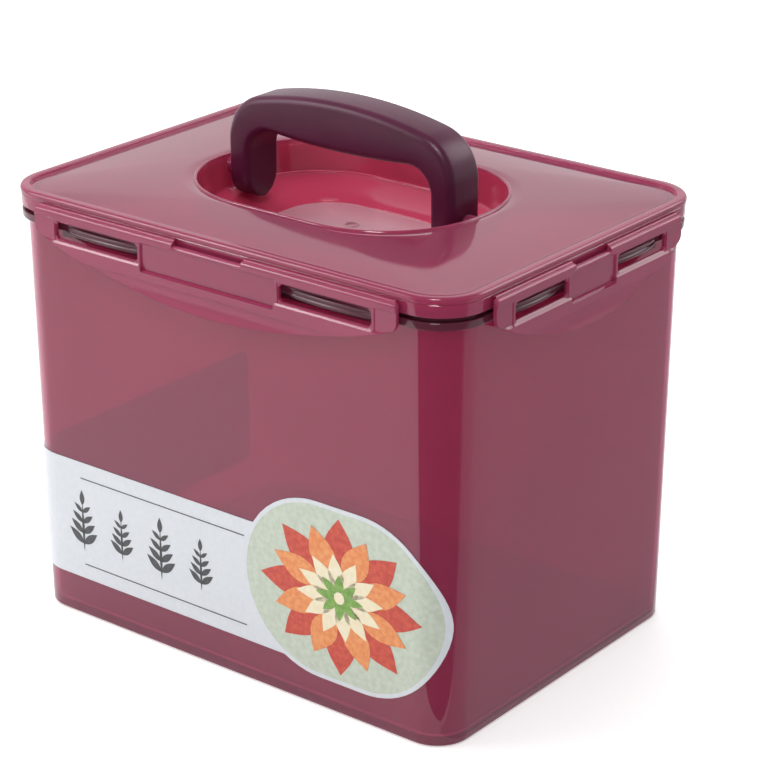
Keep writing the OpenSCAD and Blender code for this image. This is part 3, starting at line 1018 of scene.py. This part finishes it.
def build_web(node, side, hand):
    """Thin strip that bends from the skirt into the top of a flap."""
    half = SIDES[side][2]
    start, finish = NOTCH_SHARE * half + WEB_START, half - WEB_END
    outer = list(arc((HINGE_OUT, HINGE_Z), WEB_RADIUS + WEB_FILM, 90, 0, 6))
    inner = list(arc((HINGE_OUT, HINGE_Z), WEB_RADIUS, 0, 90, 6))
    top = HINGE_Z + WEB_RADIUS + WEB_FILM
    flat = [mix(SKIRT_OUT - WEB_SINK, HINGE_OUT, share / 4) for share in range(4)]
    section = [(out, top) for out in flat] + outer
    section += [(outer[-1][0], HINGE_Z - WEB_SINK), (inner[0][0], HINGE_Z - WEB_SINK)]
    section += inner + [(out, top - WEB_FILM) for out in reversed(flat)]
    loops = []
    for step in range(13):
        along = hand * mix(start, finish, step / 12)
        loops.append([on_side(side, along, out, height) for out, height in section])
    web = add_piece(f"{node}_film", *loft(loops), [lid_clear])
    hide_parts(node)
    bend_start = [c * MM for c in on_side(side, 0, SKIRT_OUT + WEB_BEND, top)]
    bend_end = [c * MM for c in on_side(side, 0, HINGE_OUT + WEB_RADIUS, top)]
    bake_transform(web)


WEBS = {
    "front_web_left": ("front", -1),
    "front_web_right": ("front", 1),
    "back_web_left": ("back", 1),
    "back_web_right": ("back", -1),
    "left_web_front": ("left", 1),
    "left_web_back": ("left", -1),
    "right_web_front": ("right", -1),
    "right_web_back": ("right", 1),
}


# Label

LABEL_BEND = BASE_OUT + LEAN * (LABEL_LOW + LABEL_HIGH) / 2
LABEL_END = -AXIS_X - LABEL_BEND * math.pi / 2 - AXIS_Y - LABEL_WRAP


def wall_point(along, height, lift):
    """Point over the front wall, which runs on round both its corners and along the left wall."""
    radius = BASE_OUT + LEAN * height + lift
    if along > AXIS_X:
        over = min(along - AXIS_X, radius)
        return AXIS_X + over, -AXIS_Y - math.sqrt(radius ** 2 - over ** 2), height
    if along > -AXIS_X:
        return along, -AXIS_Y - radius, height
    turn = (-AXIS_X - along) / LABEL_BEND
    if turn < math.pi / 2:
        return -AXIS_X - radius * math.sin(turn), -AXIS_Y - radius * math.cos(turn), height
    return -AXIS_X - radius, -AXIS_Y + (turn - math.pi / 2) * LABEL_BEND, height


def oval_half(along, inset=0.0):
    """Half the height of the label's oval at a distance along the wall."""
    beyond = max(abs(along - OVAL_X) - OVAL_STRAIGHT, 0)
    return math.sqrt(max((OVAL_RADIUS - inset) ** 2 - beyond ** 2, 0))


def label_span(along):
    """Lowest and highest point of the label at a distance along the wall."""
    half = oval_half(along)
    if along > OVAL_X:
        return OVAL_Z - half, OVAL_Z + half
    over = max(LABEL_END + LABEL_CORNER - along, 0)
    cut = LABEL_CORNER - math.sqrt(max(LABEL_CORNER ** 2 - over ** 2, 0))
    return min(LABEL_LOW + cut, OVAL_Z - half), max(LABEL_HIGH - cut, OVAL_Z + half)


def label_columns():
    marks = [LABEL_END + LABEL_CORNER * (1 - math.cos(math.pi / 2 * k / 6)) for k in range(7)]
    marks += [-AXIS_X - LABEL_BEND * math.pi / 2 * k / 10 for k in range(11)]
    for limit in (LABEL_LOW, LABEL_HIGH):
        marks.append(OVAL_X - OVAL_STRAIGHT - math.sqrt(OVAL_RADIUS ** 2 - (limit - OVAL_Z) ** 2))
    tips = [OVAL_RADIUS * math.sin(TIP_TURN * k / 16) for k in range(17)]
    marks += [OVAL_X + OVAL_STRAIGHT + tip for tip in tips]
    return spaced(marks, LABEL_STEP)


def band(columns, span, rows):
    """Grid of points between the low and high limits at each column."""
    grid = []
    for along in columns:
        low, high = span(along)
        grid.append([(along, mix(low, high, row / rows)) for row in range(rows + 1)])
    return grid


def bar(start, finish, low, high):
    return band([mix(start, finish, k / 8) for k in range(9)], lambda along: (low, high), 1)


def disc(along, height, radius):
    """Round grid, made by drawing a square one out to a circle."""
    steps = [k / 4 - 1 for k in range(9)]

    def drawn(u, v):
        x, y = u * math.sqrt(1 - v * v / 2), v * math.sqrt(1 - u * u / 2)
        return along + radius * x, height + radius * y

    return [[drawn(u, v) for v in steps] for u in steps]


def leaf(along, height, length, width, angle, wide=1.0):
    """Pointed leaf from its stalk, turned by an angle in degrees and stretched along the wall."""
    cosine, sine = math.cos(math.radians(angle)), math.sin(math.radians(angle))
    grid = []
    for k in range(13):
        reach = length * k / 12
        swell = max(math.sin(math.pi * (k / 12) ** LEAF_BEND) * width / 2, LEAF_TIP)
        row = []
        for side in (-1, -0.4, 0.4, 1):
            across = side * swell
            x = along + wide * (reach * cosine - across * sine)
            row.append((x, height + reach * sine + across * cosine))
        grid.append(row)
    return grid


def shell(grids, low, high):
    """Closed thin sheets laid over the wall, one for each grid."""
    points, faces = [], []
    for grid in grids:
        rows, count = len(grid), len(grid[0])
        base = len(points)
        for lift in (high, low):
            points += [wall_point(along, height, lift) for row in grid for along, height in row]
        front = []
        for i in range(rows - 1):
            for j in range(count - 1):
                corner = base + i * count + j
                front.append((corner, corner + count, corner + count + 1, corner + 1))
        under = rows * count
        faces += front + [tuple(corner + under for corner in reversed(face)) for face in front]
        for start, finish in sorted(rim_edges(front)):
            faces.append((finish, start, start + under, finish + under))
    return points, faces


def sprig(along, height, size):
    """Upright stalk with pairs of leaves and one at its tip."""
    parts = [leaf(along, height - size, 2 * size, size * 0.12, 90)]
    for pair in range(4):
        level = height - size * (0.7 - 0.42 * pair)
        length = size * (0.86 - 0.12 * pair)
        for angle in (38, 142):
            parts.append(leaf(along, level, length, length * 0.36, angle))
    parts.append(leaf(along, height + size * 0.85, size * 0.6, size * 0.24, 90))
    return parts


def rosette(count, start, length, width, shift):
    """Ring of petals about the middle of the oval, turned by a share of their spacing."""
    petals = []
    for k in range(count):
        angle = 360 * (k + shift) / count
        along = OVAL_X + OVAL_STRETCH * start * math.cos(math.radians(angle))
        height = OVAL_Z + start * math.sin(math.radians(angle))
        petals.append(leaf(along, height, length, width, angle, OVAL_STRETCH))
    return petals


def build_label():
    film = shell([band(label_columns(), label_span, 24)], FILM_GAP, FILM_TOP)
    place(add_piece("label_sheet", *film, [label_film]), "tub", "label_film", "label")
    reach = OVAL_STRAIGHT + OVAL_RADIUS - OVAL_MARGIN
    columns = [OVAL_X + reach * math.sin(TIP_TURN * k / 24) for k in range(-24, 25)]

    def oval_span(along):
        half = oval_half(along, OVAL_MARGIN)
        return OVAL_Z - half, OVAL_Z + half

    start = LABEL_END + RULE_INSET
    strip = [bar(start, RULE_END, height, height + RULE_THICK) for height in RULE_HEIGHTS]
    for row in (LEFT_SPRIGS, FRONT_SPRIGS):
        for k, along in enumerate(row):
            strip += sprig(along, SPRIG_HEIGHT, SPRIG_SIZES[k % 2])
    layers = [
        ("oval", print_sage, [band(columns, oval_span, 16)]),
        ("ink", print_ink, strip),
        ("petals_red", print_red, rosette(8, 9, 25, 13, 0.0)),
        ("petals_orange", print_orange, rosette(8, 8, 22, 11, 0.5)),
        ("petals_cream", print_cream, rosette(12, 2.5, 16, 6.5, 0.25)),
        ("leaves", print_green, rosette(8, 1.5, 8.5, 3.8, 0.0)),
        ("dots", print_cream, [disc(OVAL_X, OVAL_Z, 2.6)]),
    ]
    for level, (name, material, grids) in enumerate(layers):
        height = PRINT_LOW + PRINT_STEP * level
        piece = add_piece(f"label_print_{name}", *shell(grids, height - PRINT_THICK, height), [material])
        place(piece, "tub", "label_film")


# Stage, camera and light

def flat_sheet(name, corners, height):
    mesh = bpy.data.meshes.new(name)
    mesh.from_pydata([(x, y, height) for x, y in corners], [], [tuple(range(len(corners)))])
    sheet = link_object(name, mesh)
    return sheet


def math_node(tree, operation, first, second):
    """Result of two values, either of them a socket or a plain number."""
    node = tree.nodes.new("ShaderNodeMath")
    node.operation = operation
    for socket, value in zip(node.inputs, (first, second)):
        if isinstance(value, float):
            socket.default_value = value
        else:
            tree.links.new(value, socket)
    return node.outputs["Value"]


def seen_rays(tree):
    """1 for the rays that show a background: straight, mirrored or through clear plastic."""
    path = tree.nodes.new("ShaderNodeLightPath")
    total = path.outputs["Is Camera Ray"]
    for name in ("Is Glossy Ray", "Is Transmission Ray"):
        total = math_node(tree, "MAXIMUM", total, path.outputs[name])
    return total


def build_floor():
    floor = flat_sheet("floor", [(x * FLOOR_HALF, y * FLOOR_HALF) for x, y in CORNERS], FLOOR_LEVEL)
    material, tree, shader = new_material("floor_paper")
    set_sockets(shader, Base_Color=(0.9, 0.9, 0.9, 1), Roughness=0.9, Emission_Color=(1, 1, 1, 1))
    glow = math_node(tree, "MULTIPLY", seen_rays(tree), FLOOR_GLOW)
    tree.links.new(glow, shader.inputs["Emission Strength"])
    floor.data.materials.append(material)


def build_flag(name, corner, middle, half_angle, near, glow, tint):
    """Card on the floor that shows only where the container mirrors it."""
    angles = [math.radians(middle + half_angle * k / 4) for k in range(-4, 5)]
    outline = []
    for radius, turns in ((near, angles), (FLAG_REACH, reversed(angles))):
        outline += [(corner[0] + radius * math.sin(a), corner[1] - radius * math.cos(a)) for a in turns]
    flag = flat_sheet(name, outline, FLAG_LEVEL)
    material, _, shader = new_material(name + "_cloth")
    set_sockets(shader, Base_Color=(0.01, 0.01, 0.01, 1), Roughness=0.9)
    set_sockets(shader, Emission_Color=(*tint, 1), Emission_Strength=glow)
    flag.data.materials.append(material)
    flag.visible_camera = False
    flag.visible_diffuse = False
    flag.visible_transmission = False
    flag.visible_shadow = False


def aim(item, location, direction):
    item.location = location
    item.rotation_euler = direction.to_track_quat("-Z", "Y").to_euler()


def build_camera():
    azimuth, elevation = math.radians(CAMERA_AZIMUTH), math.radians(CAMERA_ELEVATION)
    target = Vector(CAMERA_TARGET) * MM
    outward = Vector((
        math.sin(azimuth) * math.cos(elevation),
        -math.cos(azimuth) * math.cos(elevation),
        math.sin(elevation),
    ))
    data = bpy.data.cameras.new("camera")
    data.sensor_width = SENSOR_WIDTH
    data.lens = SENSOR_WIDTH * FOCAL_PIXELS / PHOTO_PIXELS
    data.clip_start = 0.01
    camera = link_object("camera", data)
    aim(camera, target + outward * CAMERA_DISTANCE, -outward)
    bpy.context.scene.camera = camera


def area_light(name, location, target, width, power):
    data = bpy.data.lights.new(name, "AREA")
    data.shape = "SQUARE"
    data.size = width
    data.energy = power
    lamp = link_object(name, data)
    aim(lamp, location, Vector(target) - Vector(location))
    lamp.visible_diffuse = name not in MIRRORED_ONLY
    lamp.visible_glossy = name not in NEVER_MIRRORED


def dimmed(tree, source, start, finish):
    """1 up to the start, easing to the dim level at the finish."""
    node = map_range(tree, source, start, finish, 1.0, DIM_LEVEL)
    node.interpolation_type = "SMOOTHSTEP"
    return node.outputs["Result"]


def build_world():
    """White backdrop for what the camera sees, dimmer in mirrors overhead and on the camera's side."""
    world = bpy.data.worlds.new("studio")
    bpy.context.scene.world = world
    world.use_nodes = True
    tree = world.node_tree
    tree.nodes.clear()
    links = tree.links
    path = tree.nodes.new("ShaderNodeLightPath")
    seen = math_node(tree, "MAXIMUM", path.outputs["Is Camera Ray"], path.outputs["Is Transmission Ray"])
    coords = tree.nodes.new("ShaderNodeTexCoord")
    split = tree.nodes.new("ShaderNodeSeparateXYZ")
    links.new(coords.outputs["Generated"], split.inputs["Vector"])
    ceiling = dimmed(tree, split.outputs["Z"], *(math.sin(math.radians(a)) for a in CEILING_ANGLES))
    facing = tree.nodes.new("ShaderNodeVectorMath")
    facing.operation = "DOT_PRODUCT"
    azimuth = math.radians(ROOM_AZIMUTH)
    facing.inputs[1].default_value = (math.sin(azimuth), -math.cos(azimuth), 0.0)
    links.new(coords.outputs["Generated"], facing.inputs[0])
    room = dimmed(tree, facing.outputs["Value"], *(math.cos(math.radians(a)) for a in ROOM_ANGLES))
    glossy = tree.nodes.new("ShaderNodeMix")
    links.new(path.outputs["Is Glossy Ray"], glossy.inputs["Factor"])
    glossy.inputs[2].default_value = FILL_LEVEL
    links.new(math_node(tree, "MULTIPLY", ceiling, room), glossy.inputs[3])
    strength = tree.nodes.new("ShaderNodeMix")
    links.new(seen, strength.inputs["Factor"])
    links.new(glossy.outputs[0], strength.inputs[2])
    strength.inputs[3].default_value = 1.0
    background = tree.nodes.new("ShaderNodeBackground")
    set_sockets(background, Color=(1, 1, 1, 1))
    links.new(strength.outputs[0], background.inputs["Strength"])
    output = tree.nodes.new("ShaderNodeOutputWorld")
    links.new(background.outputs["Background"], output.inputs["Surface"])


build_tub()
build_lid()
build_seal()
build_handle()
for side in SIDES:
    build_flap(side)
for node, (side, hand) in WEBS.items():
    build_web(node, side, hand)
build_label()
build_floor()
for name, card in FLAGS.items():
    build_flag(name, *card)
build_camera()
build_world()
for name, lamp in LAMPS.items():
    area_light(name, *lamp)
bpy.context.scene.view_settings.view_transform = "Standard"
